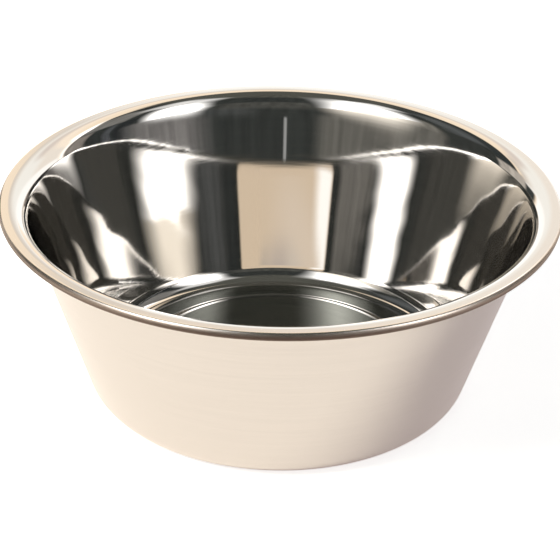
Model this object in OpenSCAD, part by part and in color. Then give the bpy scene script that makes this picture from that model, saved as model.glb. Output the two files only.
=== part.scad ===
// Stainless feeding bowl, drawn from one round blank, with its edge rolled over a steel wire.
// Millimetres. The bowl stands on z = 0 and its centre line is the z axis.

/* [Rim] */
// Outside diameter of the bowl, over the rolled bead
rim_d = 240; // [180:5:320]
// Diameter of the wire inside the bead
wire_d = 2; // [1.4:0.1:4]
// Width of the level strip between the flare and the top of the bead
rim_land = 2; // [0.5:0.25:5]
// Radius of the flare from the wall out to the rim, on the inside of the bowl
flare_r = 9; // [5:0.5:20]
// How far round the wire the edge is rolled, in degrees from the top of the bead
curl_angle = 300; // [240:5:300]

/* [Wall] */
// Height from the ground to the top of the rim
bowl_h = 90; // [60:1:130]
// Lean of the wall away from upright, in degrees
wall_lean = 16.5; // [8:0.5:22]
// Thickness of the steel sheet
sheet_t = 0.7; // [0.5:0.05:1.1]

/* [Base] */
// Radius of the corner between the wall and the base, on the outside
corner_r = 10; // [6:0.5:16]
// Width of the flat ring that the bowl rests on, inside the corner
ring_w = 8; // [3:0.5:20]
// Height that the panel in the middle is raised above the resting ring
panel_rise = 3; // [1:0.25:5]
// Radius of the two bends in the step up to the panel, at mid thickness
step_r = 6; // [3:0.5:9]

/* [Fits] */
// Clearance all round between the wire and the sheet rolled over it
wire_clear = 0.05; // [0.02:0.01:0.15]
// Width of the joint where the two ends of the wire meet
wire_joint = 0.5; // [0.2:0.1:2]

/* [Hidden] */
$fn = 180;

// Rim: the bead is the wire, its clearance and one sheet on each side
rim_r = rim_d / 2;
wire_r = wire_d / 2;
bead_r = wire_r + wire_clear + sheet_t;
bead_centre = [rim_r - bead_r, bowl_h - bead_r];

// Flare: its centre lies under the inner end of the level strip
flare_centre = [bead_centre[0] - rim_land, bowl_h - flare_r];

// Wall: unit direction square out of it, towards the outside and the ground
wall_out = [cos(wall_lean), -sin(wall_lean)];

// Corner: its centre lies where the corner touches both the ground and the wall
wall_reach = flare_centre * wall_out - flare_r + sheet_t;
corner_centre = [
    (wall_reach - corner_r + corner_r * sin(wall_lean)) / cos(wall_lean),
    corner_r,
];

// Step: two equal bends, one up from the ring and one level again at the panel
mid_t = sheet_t / 2;
step_angle = acos(1 - panel_rise / (2 * step_r));
ring_inner_r = corner_centre[0] - ring_w;
panel_r = ring_inner_r - 2 * step_r * sin(step_angle);

// Wire: the joint is left open at the back, as an angle at the radius of the ring
wire_joint_angle = wire_joint / bead_centre[0] * 180 / PI;
back_angle = 90;

// Bends of the sheet in order, from the middle of the base out to the cut edge in the bead.
// Each is its centre, its radius at mid thickness, which way it turns, and its two angles.
// It turns left, 1, towards the inside of the bowl, or right, -1, towards the outside.
BENDS = [
    [[panel_r, panel_rise + mid_t - step_r], step_r, -1, 90, 90 - step_angle],
    [[ring_inner_r, mid_t + step_r], step_r, 1, -90 - step_angle, -90],
    [corner_centre, corner_r - mid_t, 1, -90, -wall_lean],
    [flare_centre, flare_r - mid_t, -1, 180 - wall_lean, 90],
    [bead_centre, bead_r - mid_t, -1, 90, 90 - curl_angle],
];

// Largest angle between two points on a bend
arc_step = 5;

// Points along an arc, the straight stretches of sheet join one arc to the next
function arc(centre, r, from, to) =
    let (steps = ceil(abs(to - from) / arc_step))
    [for (i = [0:steps])
        let (a = from + (to - from) * i / steps)
        centre + r * [cos(a), sin(a)]];

// One face of the sheet, side 1 is the inside of the bowl and side -1 is the outside
function face(side) = [
    [0, panel_rise + mid_t + side * mid_t],
    for (b = BENDS) each arc(b[0], b[1] - side * b[2] * mid_t, b[3], b[4]),
];

function reversed(points) = [for (i = [1:len(points)]) points[len(points) - i]];

// Drawn sheet of the bowl: raised panel, resting ring, corner, wall, flare and rolled edge
module bowl_shell() {
    color("gainsboro")
        rotate_extrude()
            polygon(concat(face(-1), reversed(face(1))));
}

// Steel wire inside the rolled edge, bent to a ring with its ends butted together
module rim_wire() {
    color("silver")
        translate([0, 0, bead_centre[1]])
            rotate(back_angle + wire_joint_angle / 2)
                rotate_extrude(angle = 360 - wire_joint_angle)
                    translate([bead_centre[0], 0])
                        circle(r = wire_r);
}

bowl_shell();
rim_wire();
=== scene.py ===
# %% [markdown]
# A stainless feeding bowl is one round blank of steel sheet, drawn to a cup in a press, polished,
# and rolled over a steel wire at its edge. This script dresses the imported model: it turns the sheet
# as one smooth mesh, gives each zone of it the finish that the polisher left, and lights it the way
# bright steel is photographed. First the imported model is loaded as a frame that nothing may move.

import math
import random

import bpy
import numpy as np
from mathutils import Matrix, Vector


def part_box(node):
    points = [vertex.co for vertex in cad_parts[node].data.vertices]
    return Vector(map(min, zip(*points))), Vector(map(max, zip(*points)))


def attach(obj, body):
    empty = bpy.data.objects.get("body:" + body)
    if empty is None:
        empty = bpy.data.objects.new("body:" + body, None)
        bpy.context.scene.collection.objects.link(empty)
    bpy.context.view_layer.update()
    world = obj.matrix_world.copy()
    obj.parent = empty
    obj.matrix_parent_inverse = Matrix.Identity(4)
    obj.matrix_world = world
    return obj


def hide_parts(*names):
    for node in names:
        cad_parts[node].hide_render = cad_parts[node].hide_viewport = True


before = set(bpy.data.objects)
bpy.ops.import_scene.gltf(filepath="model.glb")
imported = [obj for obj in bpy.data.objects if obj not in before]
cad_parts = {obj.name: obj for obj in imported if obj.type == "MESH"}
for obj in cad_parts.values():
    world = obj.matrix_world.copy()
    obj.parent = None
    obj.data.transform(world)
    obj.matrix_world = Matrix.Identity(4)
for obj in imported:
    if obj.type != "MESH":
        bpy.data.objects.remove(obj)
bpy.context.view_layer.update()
print("nodes in the frame:", sorted(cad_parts))

# %% [markdown]
# Blender works in metres and a press shop in millimetres, so every size here is in millimetres and
# is turned to metres where a mesh or a lamp is made. The height, the rim and the wire are read from
# the frame. The bends are the radii of the press tools, and they repeat the ones of the solid.

# %% Sizes of the sheet, in millimetres
MM = 0.001

shell_low, shell_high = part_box("bowl_shell")
wire_low, wire_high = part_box("rim_wire")
rim_r = round((shell_high.x - shell_low.x) / 2 / MM, 1)
bowl_h = round(shell_high.z / MM, 1)
wire_r = round((wire_high.z - wire_low.z) / 2 / MM, 2)
bead_r = round(bowl_h - (wire_high.z + wire_low.z) / 2 / MM, 2)

wire_clear = 0.05  # play of the wire in the roll
sheet_t = bead_r - wire_r - wire_clear
mid_t = sheet_t / 2
rim_land = 2.0  # level part between the flare and the roll
flare_r = 9.0  # top face of the bend between the wall and the rim
curl_angle = 300.0  # how far the edge is rolled round the wire, in degrees
wall_lean = 16.5  # degrees outwards from upright
corner_r = 10.0  # outer face of the bend between the base and the wall
ring_w = 8.0  # flat ring that the bowl rests on
panel_rise = 3.0  # how far the middle of the base is pressed up
step_r = 6.0  # mid thickness of the two bends of that step
print(f"rim radius {rim_r}, height {bowl_h}, wire radius {wire_r}, sheet {sheet_t:.2f} mm")

# %% [markdown]
# The sheet has five bends between the middle of its floor and the cut edge inside the bead: two make
# the step of the raised panel, then come the corner, the flare and the roll over the wire. Between
# them the sheet is straight. Each bend is written as its centre, its radius at mid thickness, the way
# it turns (1 towards the inside of the bowl, -1 towards the outside) and its two angles.

# %% Bends of the sheet
lean = math.radians(wall_lean)
bead_centre = np.array([rim_r - bead_r, bowl_h - bead_r])
flare_centre = np.array([bead_centre[0] - rim_land, bowl_h - flare_r])
wall_out = np.array([math.cos(lean), -math.sin(lean)])
wall_reach = flare_centre @ wall_out - flare_r + sheet_t
corner_x = (wall_reach - corner_r + corner_r * math.sin(lean)) / math.cos(lean)
corner_centre = np.array([corner_x, corner_r])
step_angle = math.degrees(math.acos(1 - panel_rise / (2 * step_r)))
ring_inner_r = corner_x - ring_w
panel_r = ring_inner_r - 2 * step_r * math.sin(math.radians(step_angle))

BENDS = {
    "panel edge": ((panel_r, panel_rise + mid_t - step_r), step_r, -1, 90, 90 - step_angle),
    "ring edge": ((ring_inner_r, mid_t + step_r), step_r, 1, -90 - step_angle, -90),
    "corner": (corner_centre, corner_r - mid_t, 1, -90, -wall_lean),
    "flare": (flare_centre, flare_r - mid_t, -1, 180 - wall_lean, 90),
    "bead": (bead_centre, bead_r - mid_t, -1, 90, 90 - curl_angle),
}
print(f"panel radius {panel_r:.1f} mm, corner centre at {corner_x:.1f} mm")

# %% [markdown]
# A face of the sheet is a row of points that walks along the straight stretches and round the bends.
# Each point keeps its true normal, the distance walked and the name of the stretch or bend that it
# ends. The normals come from the geometry and not from neighbouring faces, because a mirror shows the
# smallest kink in them. The distance is used later to lay the polishing lines.

# %% Walk along one face of the sheet
arc_step = 5.0  # degrees of a bend between two points
straight_step = 2.0  # millimetres of a straight stretch between two points
STRETCHES = {  # the straight stretch before each bend
    "panel edge": "panel", "ring edge": "step", "corner": "ring", "flare": "wall", "bead": "land",
}


def walk(side):
    """Points of a face from the middle out: place, normal, stretch. Side 1 is inside, -1 outside."""
    first = np.array([0.0, panel_rise + mid_t + side * mid_t])
    points = [(first, np.array([0.0, side]), "panel")]
    for name, (centre, radius, turn, start, end) in BENDS.items():
        steps = math.ceil(abs(end - start) / arc_step)
        for i in range(steps + 1):
            angle = math.radians(start + (end - start) * i / steps)
            spoke = np.array([math.cos(angle), math.sin(angle)])
            point = np.array(centre) + (radius - side * turn * mid_t) * spoke
            normal = -side * turn * spoke
            if i > 0:
                points.append((point, normal, name))
                continue
            last = points[-1][0]
            pieces = max(1, math.ceil(np.linalg.norm(point - last) / straight_step))
            for k in range(1, pieces + 1):
                points.append((last + (point - last) * k / pieces, normal, STRETCHES[name]))
    return points


def with_distance(points):
    """The same points, each with the distance walked to it from the middle."""
    total = 0.0
    rows = []
    for i, (point, normal, stretch) in enumerate(points):
        if i > 0:
            total += float(np.linalg.norm(point - points[i - 1][0]))
        rows.append((point, normal, total, stretch))
    return rows


inside = with_distance(walk(1))
outside = with_distance(walk(-1))
print(f"{len(inside)} points on each face, {inside[-1][2]:.0f} mm from the middle to the cut edge")

# %% [markdown]
# No drawn wall is a perfect cone. Below the flare the bend runs out softly, because the sheet does not
# quite follow the tool there. And the sheet springs back a little when it leaves the press, so the wall
# keeps shallow lobes of a few hundredths of a millimetre. Nobody sees either as a shape, but they bend
# every reflection, and without them polished steel looks computed. The lobes are a sum of waves round
# the bowl and up the wall, faded out at the corner and at the rim. Rolled sheet bends differently along
# its grain and across it. So the lobes are plain at two sides of the bowl and faint at the front and
# back, and the run-out is strongest at the front and back.

# %% Run-out of the flare and ripples of the wall
run_out = 8.0  # length of the run-out below the flare, in millimetres
run_out_lean = 0.085  # slope that it reaches at the flare, at the front and back
run_out_focus = 8  # the higher, the shorter the front and back parts that have the full slope
side_share = 0.6  # how much of that slope is left at the two sides
ripple_height = 0.04  # in millimetres, drawn a little deeper than most real bowls have
ripple_waves = 20
ripple_lobes = (3, 24)  # fewest and most lobes of a wave round the bowl
ripple_length = (20.0, 80.0)  # shortest and longest wave up the wall, in millimetres
ripple_focus = 4  # the higher, the shorter the two sides that have plain lobes
faint_side = 0.05  # how much of the lobes is left at the front and back
ripple_seed = 11

draw = random.Random(ripple_seed)
WAVES = [
    (draw.randint(*ripple_lobes),
     2 * math.pi / draw.uniform(*ripple_length) * draw.choice((-1, 1)),
     draw.uniform(0, 2 * math.pi))
    for _ in range(ripple_waves)
]
wall_rows = [row for row in inside if row[3] in ("corner", "wall", "flare")]
wall_start = wall_rows[0][2]
wall_end = wall_rows[-1][2]
flare_start = [row[2] for row in inside if row[3] == "wall"][-1]


def off_cone(angle, distance):
    """How far the wall stands off its cone, in millimetres, towards the inside of the bowl."""
    share = (distance - wall_start) / (wall_end - wall_start)
    if not 0 < share < 1:
        return 0.0
    total = sum(
        math.cos(lobes * angle + along * distance + phase) / math.sqrt(lobes)
        for lobes, along, phase in WAVES
    )
    grain = faint_side + (1 - faint_side) * math.cos(angle) ** ripple_focus
    off = ripple_height * grain * total * math.sin(math.pi * share) ** 2
    here_lean = run_out_lean * (side_share + (1 - side_share) * math.sin(angle) ** run_out_focus)
    # the run-out is a cubic that starts flat, and the curve through the flare brings the sheet back
    # to its cone with no step and no kink at either end
    sag = here_lean * run_out / 3
    if distance > flare_start:
        v = (distance - flare_start) / (wall_end - flare_start)
        lean_back = here_lean * (wall_end - flare_start)
        off -= sag * (2 * v ** 3 - 3 * v ** 2 + 1) + lean_back * (v ** 3 - 2 * v ** 2 + v)
    elif distance > flare_start - run_out:
        off -= sag * ((distance - flare_start + run_out) / run_out) ** 3
    return off


print("sag of the wall at the flare, right side:", round(off_cone(0.0, flare_start), 3), "mm")

# %% [markdown]
# The two faces are joined at the cut edge and turned round the axis. Turning is done here in numpy and
# not with a Screw modifier, because the exact normals of the rows, tilted by the ripples, are then
# given to the mesh as custom normals. The outside face takes the ripple of the inside face at the same
# share of its length, so the sheet keeps its thickness.

# %% Rings of the sheet
segments = 256
nudge = 0.01  # step for measuring a slope, in millimetres up and in radians round
least_r = 1.0  # radius in millimetres that keeps the slope round finite at the middle


def ring(row, side):
    """Vertices and normals of one row, all the way round."""
    point, normal, distance, _ = row
    face = inside if side > 0 else outside
    along = distance * (inside[-1][2] / face[-1][2])
    tangent = np.array([side * normal[1], -side * normal[0]])
    vertices = []
    normals = []
    for k in range(segments):
        angle = 2 * math.pi * k / segments
        off = off_cone(angle, along)
        slope_up = (off_cone(angle, along + nudge) - off_cone(angle, along - nudge)) / (2 * nudge)
        slope_round = (off_cone(angle + nudge, along) - off_cone(angle - nudge, along)) / (2 * nudge)
        slope_round /= max(point[0], least_r)
        place = point + side * normal * off
        tilted = normal - side * slope_up * tangent
        round_part = -side * slope_round
        x, y = math.cos(angle), math.sin(angle)
        vertices.append((place[0] * x, place[0] * y, place[1]))
        normals.append(Vector((
            tilted[0] * x - round_part * y,
            tilted[0] * y + round_part * x,
            tilted[1],
        )).normalized())
    return vertices, normals


print(f"{segments} points in a ring, {2 * math.pi * rim_r / segments:.1f} mm apart at the rim")

# %% [markdown]
# Each finish starts and ends where a tool did, at a bend of the sheet, so the name of a stretch tells
# its finish. The pad that dulled the floor missed the two tight bends of the step, and they stayed
# bright. A face keeps its finish as a number: the place of its material in the list of the sheet.

# %% Finish of each row
FINISHES = ["mirror", "satin floor", "brushed outside", "cut edge", "rim"]
INSIDE_FINISHES = {
    "panel": "satin floor", "step": "satin floor", "ring": "satin floor", "land": "rim", "bead": "rim",
}


def finish_of(side, row):
    """Which finish the polisher left at a row of one face."""
    if side < 0:
        return "brushed outside"
    return INSIDE_FINISHES.get(row[3], "mirror")


print("finishes inside:", sorted({finish_of(1, row) for row in inside}))

# %% [markdown]
# The rings are bridged by faces from the middle out, first on the inside and then on the outside. At
# the middle a ring shrinks to a point, so its faces are triangles. Each corner of a face keeps its own
# normal, and each vertex the distance walked.

# %% Faces from ring to ring
sheet_points = []
walked_mm = []
sheet_faces = []
corner_normals = []
face_finishes = []


def add_row(row, side):
    """Adds a ring of vertices. Returns the first one's index and the ring's normals."""
    points, normals = ring(row, side)
    if row[0][0] == 0:
        points, normals = points[:1], normals[:1]
    start = len(sheet_points)
    sheet_points.extend(points)
    walked_mm.extend([row[2]] * len(points))
    return start, normals


def bridge(low, high, finish, flip):
    """Adds the faces between two rings, each given as add_row returns it."""
    for k in range(segments):
        corners = {}
        for (start, normals), spots in ((low, (k, k + 1)), (high, (k + 1, k))):
            for spot in spots:
                turned = spot % len(normals)
                corners[start + turned] = normals[turned]
        face = list(corners)
        if flip:
            face.reverse()
        sheet_faces.append(face)
        corner_normals.extend(corners[index] for index in face)
        face_finishes.append(FINISHES.index(finish))


ends = {}  # first vertex and point of the last row of each side
for side, rows in ((1, inside), (-1, outside)):
    last = add_row(rows[0], side)
    for row in rows[1:]:
        this = add_row(row, side)
        bridge(last, this, finish_of(side, row), flip=side > 0)
        last = this
    ends[side] = (last[0], rows[-1][0])
print(len(sheet_faces), "faces on the two sides of the sheet")

# %% [markdown]
# The blank was sheared, so its edge, inside the roll, is flat. One band of faces closes the sheet
# there, and all of its normals point straight out of the edge.

# %% Cut edge
cut = ends[-1][1] - ends[1][1]
out_of_edge = np.array([-cut[1], cut[0]]) / np.linalg.norm(cut)
edge_normals = []
for k in range(segments):
    angle = 2 * math.pi * k / segments
    edge_normals.append(Vector((
        out_of_edge[0] * math.cos(angle), out_of_edge[0] * math.sin(angle), out_of_edge[1])))
bridge((ends[1][0], edge_normals), (ends[-1][0], edge_normals), "cut edge", flip=True)
print(f"cut edge {np.linalg.norm(cut):.2f} mm wide")

# %% [markdown]
# The lists become a mesh as they are. Smooth shading alone would guess the normals from the faces, so
# the computed ones are set over it. The distance walked becomes an attribute that shaders can read.

# %% Mesh of the sheet
sheet_mesh = bpy.data.meshes.new("bowl_sheet")
sheet_mesh.from_pydata([Vector(point) * MM for point in sheet_points], [], sheet_faces)
sheet_mesh.polygons.foreach_set("material_index", face_finishes)
sheet_mesh.polygons.foreach_set("use_smooth", [True] * len(sheet_faces))
sheet_mesh.normals_split_custom_set(corner_normals)
walked = sheet_mesh.attributes.new("along_mm", "FLOAT", "POINT")
walked.data.foreach_set("value", walked_mm)
sheet_mesh.validate()
sheet_mesh.update()

bowl_sheet = bpy.data.objects.new("bowl_sheet", sheet_mesh)
bpy.context.scene.collection.objects.link(bowl_sheet)
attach(bowl_sheet, "root")
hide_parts("bowl_shell")
print(f"sheet: {len(sheet_mesh.vertices)} vertices, {len(sheet_mesh.polygons)} faces")

# %% [markdown]
# Colours are easiest to read and compare as sRGB hex values, but a shader works with linear light, so
# one function turns the one into the other. One more adds a node to a tree with its settings, and
# fills its inputs with numbers or with links from other nodes.

# %% Colour and node helpers


def linear(hex_code, strength=1.0):
    """An sRGB hex colour as linear RGBA, times a strength."""
    values = [int(hex_code[i:i + 2], 16) / 255 for i in (1, 3, 5)]
    lit = [v / 12.92 if v <= 0.04045 else ((v + 0.055) / 1.055) ** 2.4 for v in values]
    return tuple(v * strength for v in lit) + (1.0,)


def add(tree, kind, inputs=None, **settings):
    """Adds a node, makes its settings and fills its inputs with values or links."""
    node = tree.nodes.new(kind)
    for name, value in settings.items():
        setattr(node, name, value)
    for name, value in (inputs or {}).items():
        if isinstance(value, bpy.types.NodeSocket):
            tree.links.new(value, node.inputs[name])
        else:
            node.inputs[name].default_value = value
    return node


print("a mid grey, #808080, is", round(linear("#808080")[0], 3), "in linear light")

# %% [markdown]
# Ferritic stainless steel is a nearly neutral metal, a shade warmer than grey. Bright steel has hardly
# a look of its own: what the eye reads as steel is the room in it, and the cream of this bowl is the
# warm white of the paper round it. All its finishes were made on a turning bowl, so all their scratches
# run round the axis. Their pattern is noise that is long round the bowl and short across: it is read at
# the direction from the axis, and at the distance walked along the sheet.

# %% Turned scratches
wall_mid_r = 95.0  # radius in millimetres at which a streak of the wall has the length it is given
wall_streak = 60.0
scratch_roughness = 0.6  # share of the finer noise in the streaks


def turned_scratches(tree, width_mm, length_mm, radius_mm, detail):
    """Noise in streaks round the axis, each about width_mm wide and length_mm long."""
    place = add(tree, "ShaderNodeTexCoord")
    flat = add(tree, "ShaderNodeVectorMath", {0: place.outputs["Object"], 1: (1, 1, 0)},
               operation="MULTIPLY")
    spoke = add(tree, "ShaderNodeVectorMath", {0: flat.outputs[0]}, operation="NORMALIZE")
    turns = add(tree, "ShaderNodeVectorMath", {0: spoke.outputs[0], "Scale": radius_mm / length_mm},
                operation="SCALE")
    walked = add(tree, "ShaderNodeAttribute", attribute_name="along_mm")
    across = add(tree, "ShaderNodeMath", {0: walked.outputs["Fac"], 1: 1 / width_mm},
                 operation="MULTIPLY")
    lift = add(tree, "ShaderNodeCombineXYZ", {"Z": across.outputs[0]})
    where = add(tree, "ShaderNodeVectorMath", {0: turns.outputs[0], 1: lift.outputs[0]})
    return add(tree, "ShaderNodeTexNoise",
               {"Vector": where.outputs[0], "Scale": 1.0, "Detail": detail,
                "Roughness": scratch_roughness})


streak_turn = math.degrees(wall_streak / wall_mid_r)
print("a streak of", wall_streak, "mm on the wall spans", round(streak_turn), "degrees of the turn")

# %% [markdown]
# In a finish the noise does three things. It spreads the roughness, it tilts the surface a little, and
# it clouds it, because the grit in the finest scratches sends some light back without mirroring it.
# That haze keeps the darkest reflections from going black. The shader's tangent runs round the axis, so
# the reflections are blurred across the scratches and stay sharp along them.

# %% A turned steel finish
STEEL = "#D7D4D0"
noise_low = 0.3  # nearly all of the noise lies between these two
noise_high = 0.7
quarter_turn = 0.25  # turns the blur of the anisotropic shader to lie across the scratches
haze_fall = 3  # how many times less haze the clean places have


def steel_material(name, roughness, anisotropy, scratch, scratch_depth_mm, haze, tint=STEEL):
    """A turned steel finish. A scratch is a width, length and radius in mm, and the noise's detail."""
    material = bpy.data.materials.new(name)
    material.use_nodes = True
    tree = material.node_tree
    shader = tree.nodes["Principled BSDF"]
    shader.inputs["Base Color"].default_value = linear(tint)
    shader.inputs["Anisotropic"].default_value = anisotropy
    shader.inputs["Anisotropic Rotation"].default_value = quarter_turn
    noise = turned_scratches(tree, *scratch)
    spread = add(tree, "ShaderNodeMapRange", {
        "Value": noise.outputs["Fac"], "From Min": noise_low, "From Max": noise_high,
        "To Min": roughness[0], "To Max": roughness[1]})
    clean = add(tree, "ShaderNodeMapRange", {
        "Value": noise.outputs["Fac"], "From Min": noise_low, "From Max": noise_high,
        "To Min": 1.0 - haze / haze_fall, "To Max": 1.0 - haze})
    tree.links.new(clean.outputs["Result"], shader.inputs["Metallic"])
    relief = add(tree, "ShaderNodeBump", {
        "Height": noise.outputs["Fac"], "Strength": 1.0, "Distance": scratch_depth_mm * MM})
    tangent = add(tree, "ShaderNodeTangent", direction_type="RADIAL", axis="Z")
    tree.links.new(spread.outputs["Result"], shader.inputs["Roughness"])
    tree.links.new(relief.outputs["Normal"], shader.inputs["Normal"])
    tree.links.new(tangent.outputs["Tangent"], shader.inputs["Tangent"])
    return material


print("noise between", noise_low, "and", noise_high, "is spread over the roughness of a finish")

# %% [markdown]
# One sheet of steel carries five finishes, because five tools touched it. The wall and the flare went
# under a soft wheel with a fine compound until they mirrored. The floor was only gone over with a pad
# while the bowl turned, so it shows the wall above it as soft glows. The outside got one pass of a
# fine belt. The rim was buffed last. The edge inside the roll was never touched after it was cut. A
# real scratch is a hundredth of a millimetre wide, far below what a picture can hold, so each pattern
# is drawn coarser than real: its streaks stand for bundles of scratches about a millimetre wide.

# %% Finishes of the sheet
floor_mid_r = 35.0  # as wall_mid_r, for the floor and the rim
rim_mid_r = 118.0

# Stainless sheet, mirror polished on a soft wheel. It gives the eye sharp edges in the reflections,
# a little softer up and down than sideways, and blacks that stay a shade above black.
mirror_steel = steel_material(
    "stainless_steel_mirror_polished", roughness=(0.02, 0.05), anisotropy=0.8,
    scratch=(1.2, wall_streak, wall_mid_r, 3.0), scratch_depth_mm=0.003, haze=0.015)
# Stainless sheet, turned under a pad of satin grit. Its colour is a dark, slightly greenish grey,
# darker
# than the rest of the steel: painted shade that makes the floor read dark. On it the lamps are only
# soft patches, with thin bright lines at the bends of the step.
floor_steel = steel_material(
    "stainless_steel_satin_painted_shade", roughness=(0.14, 0.2), anisotropy=0.7,
    scratch=(1.0, 50.0, floor_mid_r, 3.0), scratch_depth_mm=0.002, haze=0.12, tint="#6C6E68")
# Stainless sheet, brushed with a fine belt round the outside. It gives the eye one even cream field,
# the white paper blurred, with a soft change from light to shadow round the bowl.
outside_steel = steel_material(
    "stainless_steel_brushed_satin", roughness=(0.16, 0.24), anisotropy=0.4,
    scratch=(1.0, 70.0, wall_mid_r, 3.0), scratch_depth_mm=0.003, haze=0.03)
# Stainless sheet, sheared in the press and left so. It gives the eye a thin matt line under the roll.
edge_steel = steel_material(
    "stainless_steel_sheared_edge", roughness=(0.35, 0.5), anisotropy=0.2,
    scratch=(0.4, 6.0, rim_mid_r, 2.0), scratch_depth_mm=0.01, haze=0.05)
# Stainless sheet, buffed by hand round the edge. It gives the eye a pale band with a soft highlight,
# where the mirror of the flare ends.
rim_steel = steel_material(
    "stainless_steel_buffed_rim_painted_shade", roughness=(0.1, 0.16), anisotropy=0.4,
    scratch=(0.8, 50.0, rim_mid_r, 3.0), scratch_depth_mm=0.003, haze=0.03)
for material in (mirror_steel, floor_steel, outside_steel, edge_steel, rim_steel):
    bowl_sheet.data.materials.append(material)
    print("finish:", material.name)

# %% [markdown]
# A buffing wheel reaches the top of the rim and not its underside, so the roll turns from bright satin
# to rougher steel as it goes round. Its colour darkens to a brown grey towards the underside: that is
# painted shade under the roll. It gives the eye a thin dark line all along the front of the rim. A ramp
# over the distance walked along the sheet makes it: one for the painted shade in the colour and one for
# the roughness that is added.

# %% Painted shade and rougher steel under the rim
RIM_SHADE_TONES = [
    # distance from the start of the roll in millimetres, colour of the steel darkened as painted shade,
    # added roughness
    (0.6, STEEL, 0.0),
    (1.6, "#B0A398", 0.25),
    (3.0, "#7C6E65", 0.4),
]
roll_start = [row[2] for row in inside if row[3] == "land"][-1]
rim_tree = rim_steel.node_tree
rim_shader = rim_tree.nodes["Principled BSDF"]
walked_rim = add(rim_tree, "ShaderNodeAttribute", attribute_name="along_mm")
roll_length = inside[-1][2] - roll_start
on_roll = add(rim_tree, "ShaderNodeMapRange", {
    "Value": walked_rim.outputs["Fac"], "From Min": roll_start, "From Max": roll_start + roll_length})
painted_shade_ramp = add(rim_tree, "ShaderNodeValToRGB", {"Fac": on_roll.outputs["Result"]})
dulling = add(rim_tree, "ShaderNodeValToRGB", {"Fac": on_roll.outputs["Result"]})
for ramp, values in ((painted_shade_ramp, [linear(c) for _, c, _ in RIM_SHADE_TONES]),
                     (dulling, [(r, r, r, 1.0) for _, _, r in RIM_SHADE_TONES])):
    stops = ramp.color_ramp.elements
    while len(stops) < len(RIM_SHADE_TONES):
        stops.new(0.5)
    for stop, (distance, _, _), value in zip(stops, RIM_SHADE_TONES, values):
        stop.position = distance / roll_length
        stop.color = value
rim_rough = rim_shader.inputs["Roughness"].links[0].from_socket
duller = add(rim_tree, "ShaderNodeMath", {0: rim_rough, 1: dulling.outputs["Color"]})
# the colour ramp is painted shade: it darkens the steel towards the underside of the roll
rim_tree.links.new(painted_shade_ramp.outputs["Color"], rim_shader.inputs["Base Color"])
rim_tree.links.new(duller.outputs[0], rim_shader.inputs["Roughness"])
print(f"the roll starts {roll_start:.1f} mm along the sheet and is {roll_length:.1f} mm long")

# %% [markdown]
# The wire in the bead is plain carbon steel, pulled through a die, so it is darker than the sheet and
# scored along its length. It is never polished, because the roll hides all of it but a thin line from
# below, where it gives the eye a dull grey thread. The solid's own mesh is right, so it only gets this
# material. Its noise has grains of a millimetre, coarser than the real scores.

# %% Drawn wire
wire_grains = 900.0  # grains of the noise in a metre of wire
wire_detail = 2.0
wire_roughness = (0.3, 0.5)

wire_steel = bpy.data.materials.new("carbon_steel_drawn_wire")
wire_steel.use_nodes = True
wire_tree = wire_steel.node_tree
wire_shader = wire_tree.nodes["Principled BSDF"]
wire_shader.inputs["Base Color"].default_value = linear("#B4B0A8")
wire_shader.inputs["Metallic"].default_value = 1.0
wire_place = add(wire_tree, "ShaderNodeTexCoord")
wire_noise = add(wire_tree, "ShaderNodeTexNoise", {
    "Vector": wire_place.outputs["Object"], "Scale": wire_grains, "Detail": wire_detail})
wire_rough = add(wire_tree, "ShaderNodeMapRange", {
    "Value": wire_noise.outputs["Fac"], "To Min": wire_roughness[0], "To Max": wire_roughness[1]})
wire_tree.links.new(wire_rough.outputs["Result"], wire_shader.inputs["Roughness"])
rim_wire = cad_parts["rim_wire"]
rim_wire.data.materials.clear()
rim_wire.data.materials.append(wire_steel)
print("wire:", wire_steel.name)

# %% [markdown]
# The paper, the softboxes and the table glow, as if lamps of their own lit them. Two helpers serve
# them. One tells the camera's rays from those of a mirror, so that a thing can show each its own light.
# The other makes an empty material, whose glow isn't sampled as a lamp: the steel's rays find it.

# %% Helpers for what glows


def seen_by(tree):
    """Two values: 1 for a ray of the camera, and 1 for a ray from a mirror or from glass."""
    path = add(tree, "ShaderNodeLightPath")
    mirror = add(tree, "ShaderNodeMath", {
        0: path.outputs["Is Glossy Ray"], 1: path.outputs["Is Transmission Ray"]},
        operation="MAXIMUM")
    return path.outputs["Is Camera Ray"], mirror.outputs[0]


def empty_material(name):
    """A material with an empty node tree, for something that glows."""
    material = bpy.data.materials.new(name)
    material.use_nodes = True
    material.node_tree.nodes.clear()
    material.cycles.emission_sampling = "NONE"
    return material


print("helpers: seen_by, empty_material")

# %% [markdown]
# The floor is a wide sheet of matt white paper. It gives the eye nothing but white and the soft shadow
# of the bowl. Its diffuse part catches the shadow, and the rest of its white comes from an emission
# that only the camera, mirrors and glass see, so the paper stays white without more light on the bowl.
# The camera gets more of it than the steel does, so the shadow is faint on the paper and plain in the
# side of the bowl, as in the photograph. In the steel the paper is a little pink, as warm light is.

# %% Paper floor
floor_radius = 8.0  # metres
floor_sides = 128
floor_gap = 0.1 * MM  # keeps the paper and the base of the bowl from lying in one plane
paper_glow = 0.68  # strength for the camera
paper_glow_in_steel = 0.3  # strength for mirrors and glass

bpy.ops.mesh.primitive_circle_add(vertices=floor_sides, radius=floor_radius, fill_type="NGON",
                                  location=(0, 0, -floor_gap))
floor = bpy.context.object
floor.name = "paper_floor"

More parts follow.
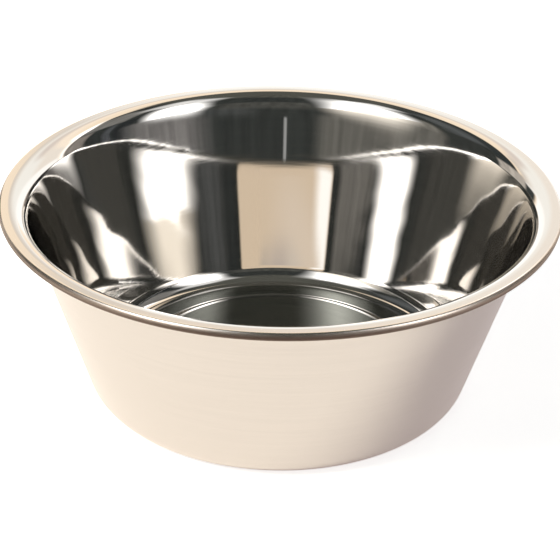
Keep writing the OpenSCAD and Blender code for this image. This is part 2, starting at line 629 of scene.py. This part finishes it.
paper = empty_material("paper_white_matt")
paper_tree = paper.node_tree
paper_matt = add(paper_tree, "ShaderNodeBsdfDiffuse", {"Color": linear("#E7E7E7")})
by_camera, by_mirror = seen_by(paper_tree)
glow_in_steel = add(paper_tree, "ShaderNodeMath", {0: by_mirror, 1: paper_glow_in_steel},
                    operation="MULTIPLY")
glow_in_camera = add(paper_tree, "ShaderNodeMath", {0: by_camera, 1: paper_glow},
                     operation="MULTIPLY")
paper_strength = add(paper_tree, "ShaderNodeMath", {
    0: glow_in_steel.outputs[0], 1: glow_in_camera.outputs[0]}, operation="ADD")
paper_tone = add(paper_tree, "ShaderNodeMix", {
    "Factor": by_mirror, "A": linear("#FFFFFF"), "B": linear("#FFE3DE")}, data_type="RGBA")
paper_emission = add(paper_tree, "ShaderNodeEmission", {
    "Color": paper_tone.outputs["Result"], "Strength": paper_strength.outputs[0]})
paper_both = add(paper_tree, "ShaderNodeAddShader", {
    0: paper_matt.outputs[0], 1: paper_emission.outputs[0]})
add(paper_tree, "ShaderNodeOutputMaterial", {"Surface": paper_both.outputs[0]})
floor.data.materials.append(paper)
print("floor:", floor.name, "radius", floor_radius, "m")

# %% [markdown]
# Bright steel shows its room, so what a photographer lights is the room: white paper behind the bowl,
# a large softbox at each side of the camera, and dark cloth everywhere else. Here the far room is
# painted in the world, as patches of direction that are laid over one another in the order of a list.
# Each patch has its left and right edge as a bearing, 0 behind the photographer and positive to their
# right, and its bottom and top as a height angle. From -400 to 400 a patch goes all the way round.
# High over each softbox its spill lights the ceiling.

# %% Patches of the room
ROOM_BASE = "#5C5D57"  # the ceiling, and the room where no patch lies
ROOM = [
    # left, right, bottom, top, colour, strength, softness sideways and upwards, all in degrees
    ("paper at the back", -400, 400, -10, 60, "#FFECD3", 1.35, 4, 12),
    ("dark cloth at the sides", -136, 128, -10, 90, "#383C3B", 1.0, 3, 4),
    ("dark cloth low at the left", -152, -130, -10, 17, "#414544", 1.0, 5, 8),
    ("grey wall right", 86, 120, 34, 58, "#8D8C89", 1.0, 6, 5),
    ("door post right", 104, 119, -10, 32, "#9A938D", 1.0, 5, 5),
    ("grey strip right", 87, 92, -10, 32, "#5C6064", 1.0, 3, 5),
    ("black strip right", 76, 86, -10, 34, "#313537", 1.0, 4, 5),
    ("black cloth left", -133, -120, -10, 60, "#353B3C", 1.0, 4, 8),
    ("table at the left", -141, -118, -10, 20, "#CFC7BD", 1.0, 4, 6),
    ("grey wall left", -118, -92, 32, 60, "#5F6365", 1.0, 14, 8),
    ("spill at the left softbox", -82, -66, -10, 42, "#807E78", 1.0, 8, 8),
    ("paper under the left softbox", -78, -18, -10, 13, "#6F6E69", 1.0, 10, 4),
    ("paper under the right softbox", 40, 75, -10, 15, "#8A8887", 1.0, 20, 8),
    ("dim paper left", -66, -20, 14, 26, "#3C3E3C", 1.0, 14, 5),
    ("dim paper right", 14, 50, 12, 24, "#4B4E4E", 1.0, 14, 5),
    ("dark behind the camera", -16, 32, 18, 40, "#545552", 1.0, 14, 5),
    ("lamp stand", -2.2, -0.8, 5, 11, "#B0B2B2", 1.0, 1, 2),
    ("dark ceiling", -400, 400, 66, 120, ROOM_BASE, 1.0, 10, 10),
    ("light over the left softbox", -84, -44, 57, 69, "#FFFFFF", 1.2, 18, 6),
    ("light over the right softbox", 48, 95, 54, 70, "#FFFFFF", 1.1, 20, 8),
]
print(len(ROOM), "patches of the room")

# %% [markdown]
# A shader knows a direction as three numbers. The height angle is the arcsine of its upward part, and
# the bearing is the angle between the other two, counted from the side of the camera.

# %% Directions of the room
world = bpy.data.worlds.new("photo_room")
bpy.context.scene.world = world
world.use_nodes = True
world.cycles.sampling_method = "NONE"
room = world.node_tree
room.nodes.clear()
ray = add(room, "ShaderNodeTexCoord")
axes = add(room, "ShaderNodeSeparateXYZ", {0: ray.outputs["Generated"]})
to_camera = add(room, "ShaderNodeMath", {0: axes.outputs["Y"], 1: -1.0}, operation="MULTIPLY")
bearing = add(room, "ShaderNodeMath", {0: axes.outputs["X"], 1: to_camera.outputs[0]},
              operation="ARCTAN2")
bearing = add(room, "ShaderNodeMath", {0: bearing.outputs[0]}, operation="DEGREES")
rise = add(room, "ShaderNodeMath", {0: axes.outputs["Z"]}, operation="ARCSINE")
rise = add(room, "ShaderNodeMath", {0: rise.outputs[0]}, operation="DEGREES")
print("world:", world.name)

# %% [markdown]
# One function makes a mask that is 1 inside a rectangle and falls softly to 0 at its edges. One more
# lays a colour over another with such a mask. They work on any two values, here the two angles, and
# later they paint the paper behind the bowl, where the two values are a width and a height in metres.

# %% Paint the patches


def soft_rectangle(tree, across, up, left, right, bottom, top, soft_across, soft_up):
    """1 inside a rectangle of two values and 0 outside it, with soft steps at its edges."""
    mask = 1.0
    for value, at, soft, low, high in (
            (across, left, soft_across, 0.0, 1.0), (across, right, soft_across, 1.0, 0.0),
            (up, bottom, soft_up, 0.0, 1.0), (up, top, soft_up, 1.0, 0.0)):
        step = add(tree, "ShaderNodeMapRange", {
            "Value": value, "From Min": at - soft / 2, "From Max": at + soft / 2,
            "To Min": low, "To Max": high}, interpolation_type="SMOOTHSTEP")
        mask = add(tree, "ShaderNodeMath", {0: mask, 1: step.outputs["Result"]},
                   operation="MULTIPLY").outputs[0]
    return mask


def patch(tree, below, across, up, left, right, bottom, top, colour, strength,
          soft_across, soft_up):
    """Lays one soft rectangle of colour over the colour below it."""
    mask = soft_rectangle(tree, across, up, left, right, bottom, top, soft_across, soft_up)
    mix = add(tree, "ShaderNodeMix", {"Factor": mask, "A": below, "B": linear(colour, strength)},
              data_type="RGBA")
    return mix.outputs["Result"]


colour = linear(ROOM_BASE)
for name, *numbers in ROOM:
    colour = patch(room, colour, bearing.outputs[0], rise.outputs[0], *numbers)
    print("room:", name)

# %% [markdown]
# The cloth hangs in folds, so its light goes up and down in upright streaks. They come from a noise
# that is read at the two angles, drawn out upwards, and it works only where the cloth hangs.

# %% Folds of the cloth
CLOTH = (-132, 120, -10, 90, 8, 4)  # left, right, bottom, top and the two softnesses, in degrees
fold_width = 4.2  # degrees
fold_height = 21.0
fold_depth = 0.22  # how far a fold changes the light of the cloth
fold_detail = 4.0
fold_roughness = 0.55
fold_low = 0.35  # nearly all of this noise lies between these two
fold_high = 0.65

in_cloth = soft_rectangle(room, bearing.outputs[0], rise.outputs[0], *CLOTH)
fold_across = add(room, "ShaderNodeMath", {0: bearing.outputs[0], 1: 1 / fold_width},
                  operation="MULTIPLY")
fold_up = add(room, "ShaderNodeMath", {0: rise.outputs[0], 1: 1 / fold_height}, operation="MULTIPLY")
fold_at = add(room, "ShaderNodeCombineXYZ", {"X": fold_across.outputs[0], "Y": fold_up.outputs[0]})
folds = add(room, "ShaderNodeTexNoise", {
    "Vector": fold_at.outputs[0], "Scale": 1.0, "Detail": fold_detail,
    "Roughness": fold_roughness})
fold_light = add(room, "ShaderNodeMapRange", {
    "Value": folds.outputs["Fac"], "From Min": fold_low, "From Max": fold_high,
    "To Min": 1 - fold_depth, "To Max": 1 + fold_depth})
folded = add(room, "ShaderNodeVectorMath", {0: colour, "Scale": fold_light.outputs["Result"]},
             operation="SCALE")
colour = add(room, "ShaderNodeMix", {"Factor": in_cloth, "A": colour, "B": folded.outputs[0]},
             data_type="RGBA").outputs["Result"]
print("folds of", fold_width, "degrees, light up and down by", fold_depth)

# %% [markdown]
# Only mirrors and glass see this room. To the camera the world is plain white, as if the paper ran on
# behind the bowl, and matt surfaces get a weaker white that fills the shadow.

# %% Who sees the room
sky_strength = 0.4  # the white that matt surfaces get

by_camera, by_mirror = seen_by(room)
plain_strength = add(room, "ShaderNodeMapRange", {
    "Value": by_camera, "To Min": sky_strength, "To Max": 1.0})
plain = add(room, "ShaderNodeBackground", {
    "Color": linear("#FFFFFF"), "Strength": plain_strength.outputs["Result"]})
painted = add(room, "ShaderNodeBackground", {"Color": colour, "Strength": 1.0})
choice = add(room, "ShaderNodeMixShader", {
    0: by_mirror, 1: plain.outputs[0], 2: painted.outputs[0]})
add(room, "ShaderNodeOutputWorld", {"Surface": choice.outputs[0]})
print("the room is painted, and matt surfaces get white of strength", sky_strength)

# %% [markdown]
# What stands near the bowl can't be painted on the world: as a ray bounces across the bowl it starts
# from another place each time, and sees a near thing at another angle. So the two softboxes and the
# paper behind the bowl are real panels. Only mirrors and glass see them, so they neither light the
# paper nor stand in the picture. One function makes the sheet of a panel from its middle and its axes.

# %% Panel for the steel to mirror


def for_steel_only(thing):
    """Links an object that only mirrors and glass see."""
    thing.visible_camera = False
    thing.visible_diffuse = False
    thing.visible_shadow = False
    bpy.context.scene.collection.objects.link(thing)


def glow_panel(name, material_name, middle, side_way, up_way, reach_x, reach_y):
    """A flat sheet that only mirrors and glass see. Returns its empty node tree."""
    mesh = bpy.data.meshes.new(name)
    corners = [(-1, -1), (1, -1), (1, 1), (-1, 1)]
    mesh.from_pydata([(x * reach_x, y * reach_y, 0) for x, y in corners], [], [(0, 1, 2, 3)])
    material = empty_material(material_name)
    mesh.materials.append(material)
    panel = bpy.data.objects.new(name, mesh)
    axes_of_panel = Matrix((side_way, up_way, side_way.cross(up_way))).transposed()
    panel.matrix_world = Matrix.Translation(middle) @ axes_of_panel.to_4x4()
    for_steel_only(panel)
    print("panel:", name, "at", [round(v, 2) for v in middle], "m")
    return material.node_tree


def glow_through(tree, mask, colour):
    """Ends a panel's node tree: it glows where the mask is 1 and is clear where it is 0."""
    glow = add(tree, "ShaderNodeEmission", {"Color": colour, "Strength": 1.0})
    clear = add(tree, "ShaderNodeBsdfTransparent")
    both = add(tree, "ShaderNodeMixShader", {0: mask, 1: clear.outputs[0], 2: glow.outputs[0]})
    add(tree, "ShaderNodeOutputMaterial", {"Surface": both.outputs[0]})


# %% [markdown]
# Each softbox is a lit cloth of white nylon whose light fades to its edges. It is narrower at its
# top, because it leans over the bowl, and the side with the lower bearing is cut back further there.
# It is placed by its direction and distance from the bowl, faces the bowl and is tilted a little.

# %% Shape of a softbox
no_edge = -1.0  # metres, beyond the sheet of every panel, so a mask's edge there isn't seen
top_cut = 0.6  # how far the side with the lower bearing is cut back at the top, in half widths


def box_axes(turn, up, tilt):
    """Direction from the bowl to a softbox, and the two axes of its cloth, from angles in radians."""
    to_box = Vector((math.sin(turn) * math.cos(up), -math.cos(turn) * math.cos(up), math.sin(up)))
    level_side = Vector((math.cos(turn), math.sin(turn), 0))
    upright = to_box.cross(level_side)
    upright = upright if upright.z > 0 else -upright
    side_way = math.cos(tilt) * level_side + math.sin(tilt) * upright
    up_way = math.cos(tilt) * upright - math.sin(tilt) * level_side
    return to_box, side_way, up_way


def box_mask(tree, here, half_width, half_height, soft, narrow):
    """1 on the cloth of a softbox and 0 beside it, with soft edges."""
    taper = add(tree, "ShaderNodeMapRange", {
        "Value": here.outputs["Y"], "From Min": -half_height, "From Max": half_height,
        "To Min": -narrow * half_width, "To Max": narrow * half_width})
    cut_back = add(tree, "ShaderNodeMapRange", {
        "Value": here.outputs["Y"], "From Min": 0.0, "From Max": half_height,
        "To Min": 0.0, "To Max": top_cut * half_width})
    to_cut_side = add(tree, "ShaderNodeMath", {
        0: cut_back.outputs["Result"], 1: here.outputs["X"]}, operation="SUBTRACT")
    from_middle = add(tree, "ShaderNodeMath", {0: here.outputs["X"], 1: to_cut_side.outputs[0]},
                      operation="MAXIMUM")
    across = add(tree, "ShaderNodeMath", {0: from_middle.outputs[0], 1: taper.outputs["Result"]})
    return soft_rectangle(tree, across.outputs[0], here.outputs["Y"], no_edge, half_width,
                          -half_height, half_height, soft, soft)


print("a softbox is cut back at its top by", top_cut, "of its half width")

# %% [markdown]
# The lamp behind the cloth makes its middle far brighter than white, so even the third reflection of
# it, deep in the bowl, is still white. The lamp of the left softbox lights a round part of its cloth,
# and below that the cloth is dimmer and a little warm. That edge is plain in the left side of the bowl.

# %% Softboxes
SOFTBOXES = [
    # bearing, rise, distance, half width, half height, tilt, softness, narrowing, strength
    # the angles are in degrees, the lengths in metres and the narrowing in half widths
    ("softbox_left", -56.0, 46.8, 0.431, 0.116, 0.232, 20.3, 0.200, 0.40, 5.0),
    ("softbox_right", 59.3, 38.9, 0.778, 0.155, 0.300, -5.5, 0.210, 0.13, 5.0),
]
box_centre = Vector((0, 0, 0.06))  # directions and distances are counted from this point
dim_edge = 0.65  # share of the light that is left where the cloth fades
LAMP_DISCS = {"softbox_left": (0.420, 0.615, 0.825)}  # its middle and radius on the cloth, in metres
disc_edge = 0.006  # half the width of the disc's soft edge, in metres
BELOW_DISC = linear("#FFF8EC", 1.95)


def box_light(tree, place, mask, strength, disc):
    """Light of a softbox, falling to its edges, and with another tone outside the lamp's disc."""
    hot = add(tree, "ShaderNodeMapRange", {"Value": mask, "To Min": dim_edge, "To Max": 1.0},
              interpolation_type="SMOOTHERSTEP")
    light = add(tree, "ShaderNodeVectorMath", {
        0: linear("#FFFFFF", strength)[:3], "Scale": hot.outputs["Result"]},
        operation="SCALE").outputs[0]
    if disc is None:
        return light
    disc_x, disc_y, disc_r = disc
    to_disc = add(tree, "ShaderNodeVectorMath", {
        0: place.outputs["Object"], 1: (disc_x, disc_y, 0)}, operation="DISTANCE")
    outside_disc = add(tree, "ShaderNodeMapRange", {
        "Value": to_disc.outputs["Value"],
        "From Min": disc_r - disc_edge, "From Max": disc_r + disc_edge})
    two_parts = add(tree, "ShaderNodeMix", {
        "Factor": outside_disc.outputs["Result"], "A": light, "B": BELOW_DISC}, data_type="RGBA")
    return two_parts.outputs["Result"]


for name, turn, up, distance, half_width, half_height, tilt, soft, narrow, strength in SOFTBOXES:
    to_box, side_way, up_way = box_axes(math.radians(turn), math.radians(up), math.radians(tilt))
    tree = glow_panel(name, "white_nylon_" + name, box_centre + to_box * distance, side_way, up_way,
                      half_width * (1 + narrow) + soft, half_height + soft)
    place = add(tree, "ShaderNodeTexCoord")
    here = add(tree, "ShaderNodeSeparateXYZ", {0: place.outputs["Object"]})
    mask = box_mask(tree, here, half_width, half_height, soft, narrow)
    glow_through(tree, mask, box_light(tree, place, mask, strength, LAMP_DISCS.get(name)))

# %% [markdown]
# The paper behind the bowl hangs 0.35 m behind its middle. The low part of it, just over the rim, is
# brighter than the rest, and a strip at its right, which catches the right softbox, is brighter still.
# Higher up the light is warmer. The paper ends soon at the left, and its low left corner is rolled
# away, so there the steel shows the room behind it.

# %% Paper behind the bowl
PAPER = [
    # left, right, bottom, top, colour, strength, softness sideways and upwards, all in metres
    ("bright strip", 0.29, 0.49, 0.0, 0.7, "#FFFFFF", 2.3, 0.12, 0.12),
    ("upper part", -0.02, 0.45, -0.1, 0.47, "#FFF0DE", 1.42, 0.24, 0.1),
    ("middle part", -0.1, 0.1, -0.1, 0.38, "#FFF3EA", 1.0, 0.16, 0.06),
    ("dim part left", -0.3, -0.09, -0.1, 0.38, "#F8EEE3", 1.0, 0.08, 0.06),
    ("bright part right", 0.07, 0.4, -0.1, 0.38, "#FFF6EB", 1.22, 0.12, 0.06),
    ("bright middle", -0.1, 0.13, -0.1, 0.32, "#FFFDF7", 1.3, 0.12, 0.04),
    ("low part", -0.385, 0.4, -0.1, 0.195, "#FFFDFA", 1.5, 0.06, 0.05),
]
PAPER_BASE = linear("#FFECD3", 1.35)
PAPER_EDGES = (-0.16, 0.49, -0.1, 0.7, 0.06, 0.12)  # left, right, bottom, top and two softnesses
ROLLED_CORNER = (no_edge, -0.06, no_edge, 0.185, 0.03, 0.03)
paper_middle = Vector((0.0525, 0.35, 0.35))
paper_reach = (0.46, 0.42)  # from the middle of the sheet to its edges, in metres

paper_back = glow_panel("paper_behind", "paper_white_hanging", paper_middle, Vector((1, 0, 0)),
                        Vector((0, 0, 1)), *paper_reach)
paper_place = add(paper_back, "ShaderNodeNewGeometry")
paper_here = add(paper_back, "ShaderNodeSeparateXYZ", {0: paper_place.outputs["Position"]})
paper_mask = soft_rectangle(paper_back, paper_here.outputs["X"], paper_here.outputs["Z"],
                            *PAPER_EDGES)
low_corner = soft_rectangle(paper_back, paper_here.outputs["X"], paper_here.outputs["Z"],
                            *ROLLED_CORNER)
paper_mask = add(paper_back, "ShaderNodeMath", {0: paper_mask, 1: low_corner},
                 operation="SUBTRACT", use_clamp=True).outputs[0]
paper_colour = PAPER_BASE
for name, *numbers in PAPER:
    paper_colour = patch(paper_back, paper_colour, paper_here.outputs["X"], paper_here.outputs["Z"],
                         *numbers)
    print("paper behind the bowl:", name)
glow_through(paper_back, paper_mask, paper_colour)

# %% [markdown]
# The paper on the floor ends a few centimetres in front of the bowl, just outside the picture. The
# brown table beyond it is what the front of the rolled rim mirrors. Like the softboxes it is there for
# the steel only.

# %% Table in front of the paper
table_near = -0.175  # its edge towards the bowl and the one away from it, in metres along Y
table_far = -1.4
table_half = 0.35
table_lift = 0.2 * MM  # lays the table over the paper

table = bpy.data.meshes.new("table_front")
table.from_pydata([(-table_half, table_far, 0), (table_half, table_far, 0),
                   (table_half, table_near, 0), (-table_half, table_near, 0)], [], [(0, 1, 2, 3)])
table_front = bpy.data.objects.new("table_front", table)
table_front.location = (0, 0, table_lift)
table_wood = empty_material("table_brown_wood")
wood_glow = add(table_wood.node_tree, "ShaderNodeEmission", {
    "Color": linear("#88746A"), "Strength": 1.0})
add(table_wood.node_tree, "ShaderNodeOutputMaterial", {"Surface": wood_glow.outputs[0]})
table.materials.append(table_wood)
for_steel_only(table_front)
print("table in front of the paper, from", table_near, "m")

# %% [markdown]
# One large soft lamp stands high at the left and throws the shadow to the right, where the side of the
# bowl mirrors it as a soft grey. The steel doesn't see the lamp itself, only the painted room.

# %% Key lamp
key_place = Vector((-1.32, -0.67, 1.6))
key_size = 0.8  # metres
key_power = 52.0  # watts

key_data = bpy.data.lights.new("key_lamp", "AREA")
key_data.shape = "SQUARE"
key_data.size = key_size
key_data.energy = key_power
key_data.color = linear("#FFF6E0")[:3]
key = bpy.data.objects.new("key_lamp", key_data)
key.location = key_place
key.rotation_euler = (-key_place).to_track_quat("-Z", "Y").to_euler()
key.visible_glossy = False
bpy.context.scene.collection.objects.link(key)
print("key lamp", key_power, "W")

# %% [markdown]
# The camera was found by fitting the rims and the sides of the bowl in the photograph. It looks down
# at the bowl by 29 degrees from 0.7 m, and it is turned by one degree, so the rim tilts to the right.

# %% Camera
aim = Vector((0.43, 0.0, 46.07)) * MM  # the point that the middle of the picture shows
camera_distance = 705.0 * MM
look_down = math.radians(29.09)
camera_roll = math.radians(1.11)
focal_length = 102.25
sensor_width = 36.0

camera_data = bpy.data.cameras.new("camera")
camera_data.sensor_width = sensor_width
camera_data.lens = focal_length
camera_data.clip_start = 0.05
camera_data.clip_end = 50.0
camera = bpy.data.objects.new("camera", camera_data)
backwards = Vector((0, -math.cos(look_down), math.sin(look_down)))
camera.matrix_world = (
    Matrix.Translation(aim + backwards * camera_distance)
    @ Matrix.Rotation(math.pi / 2 - look_down, 4, "X")
    @ Matrix.Rotation(camera_roll, 4, "Z")
)
bpy.context.scene.collection.objects.link(camera)
bpy.context.scene.camera = camera
bpy.context.scene.view_settings.view_transform = "Standard"
print("camera at", [round(v, 3) for v in camera.location])
